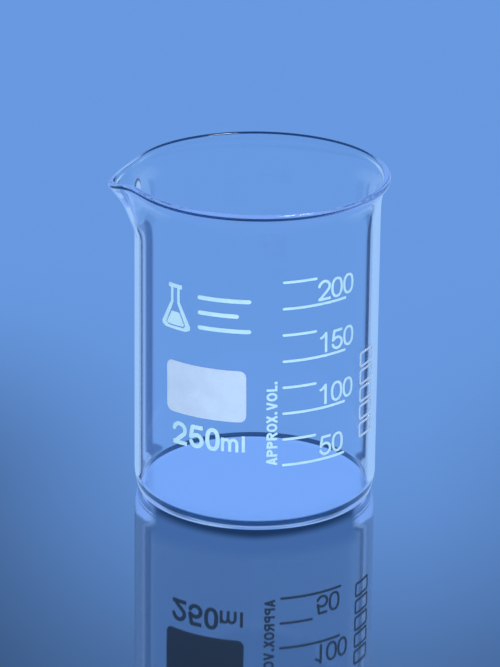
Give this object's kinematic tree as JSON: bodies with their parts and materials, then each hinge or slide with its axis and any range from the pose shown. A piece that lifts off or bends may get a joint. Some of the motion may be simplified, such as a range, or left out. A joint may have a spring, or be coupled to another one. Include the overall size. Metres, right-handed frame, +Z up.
{
  "type": "laboratory beaker",
  "caption": "Low-form glass laboratory beaker with a flared rim, a pouring spout, a flat base and a fired-on white volume scale, capacity mark and write-on patch.",
  "frame": {"origin": "centre of the round base on the resting plane, on the axis of the wall", "axes": "+Z up along the axis of the wall, out of the mouth; the pouring spout points along -X and the printed scale faces -Y"},
  "size_m": [0.0801, 0.0752, 0.0962],
  "materials": {
    "borosilicate_glass": "clear, fire-polished",
    "white_enamel": "fired satin white",
    "marking_patch_enamel": "fired matt, slightly translucent, takes pencil",
    "side_frame_enamel": "fired matt, thin"
  },
  "bodies": {
    "root": {"capacity_five": "white_enamel", "capacity_two": "white_enamel", "capacity_unit_l": "white_enamel", "capacity_unit_m": "white_enamel", "capacity_zero": "white_enamel", "emblem_fill": "white_enamel", "emblem_flask": "white_enamel", "emblem_rule_low": "white_enamel", "emblem_rule_mid": "white_enamel", "emblem_rule_top": "white_enamel", "glass_body": "borosilicate_glass", "legend_a": "white_enamel", "legend_l": "white_enamel", "legend_o": "white_enamel", "legend_o_b": "white_enamel", "legend_p": "white_enamel", "legend_p_b": "white_enamel", "legend_r": "white_enamel", "legend_stop": "white_enamel", "legend_stop_b": "white_enamel", "legend_v": "white_enamel", "legend_x": "white_enamel", "line_100": "white_enamel", "line_125": "white_enamel", "line_150": "white_enamel", "line_175": "white_enamel", "line_200": "white_enamel", "line_225": "white_enamel", "line_50": "white_enamel", "line_75": "white_enamel", "marking_panel": "marking_patch_enamel", "num_100_one": "white_enamel", "num_100_zero": "white_enamel", "num_100_zero_b": "white_enamel", "num_150_five": "white_enamel", "num_150_one": "white_enamel", "num_150_zero": "white_enamel", "num_200_two": "white_enamel", "num_200_zero": "white_enamel", "num_200_zero_b": "white_enamel", "num_50_five": "white_enamel", "num_50_zero": "white_enamel", "side_frame_1": "side_frame_enamel", "side_frame_2": "side_frame_enamel", "side_frame_3": "side_frame_enamel", "side_frame_4": "side_frame_enamel", "side_frame_5": "side_frame_enamel"}
  },
  "joints": []
}
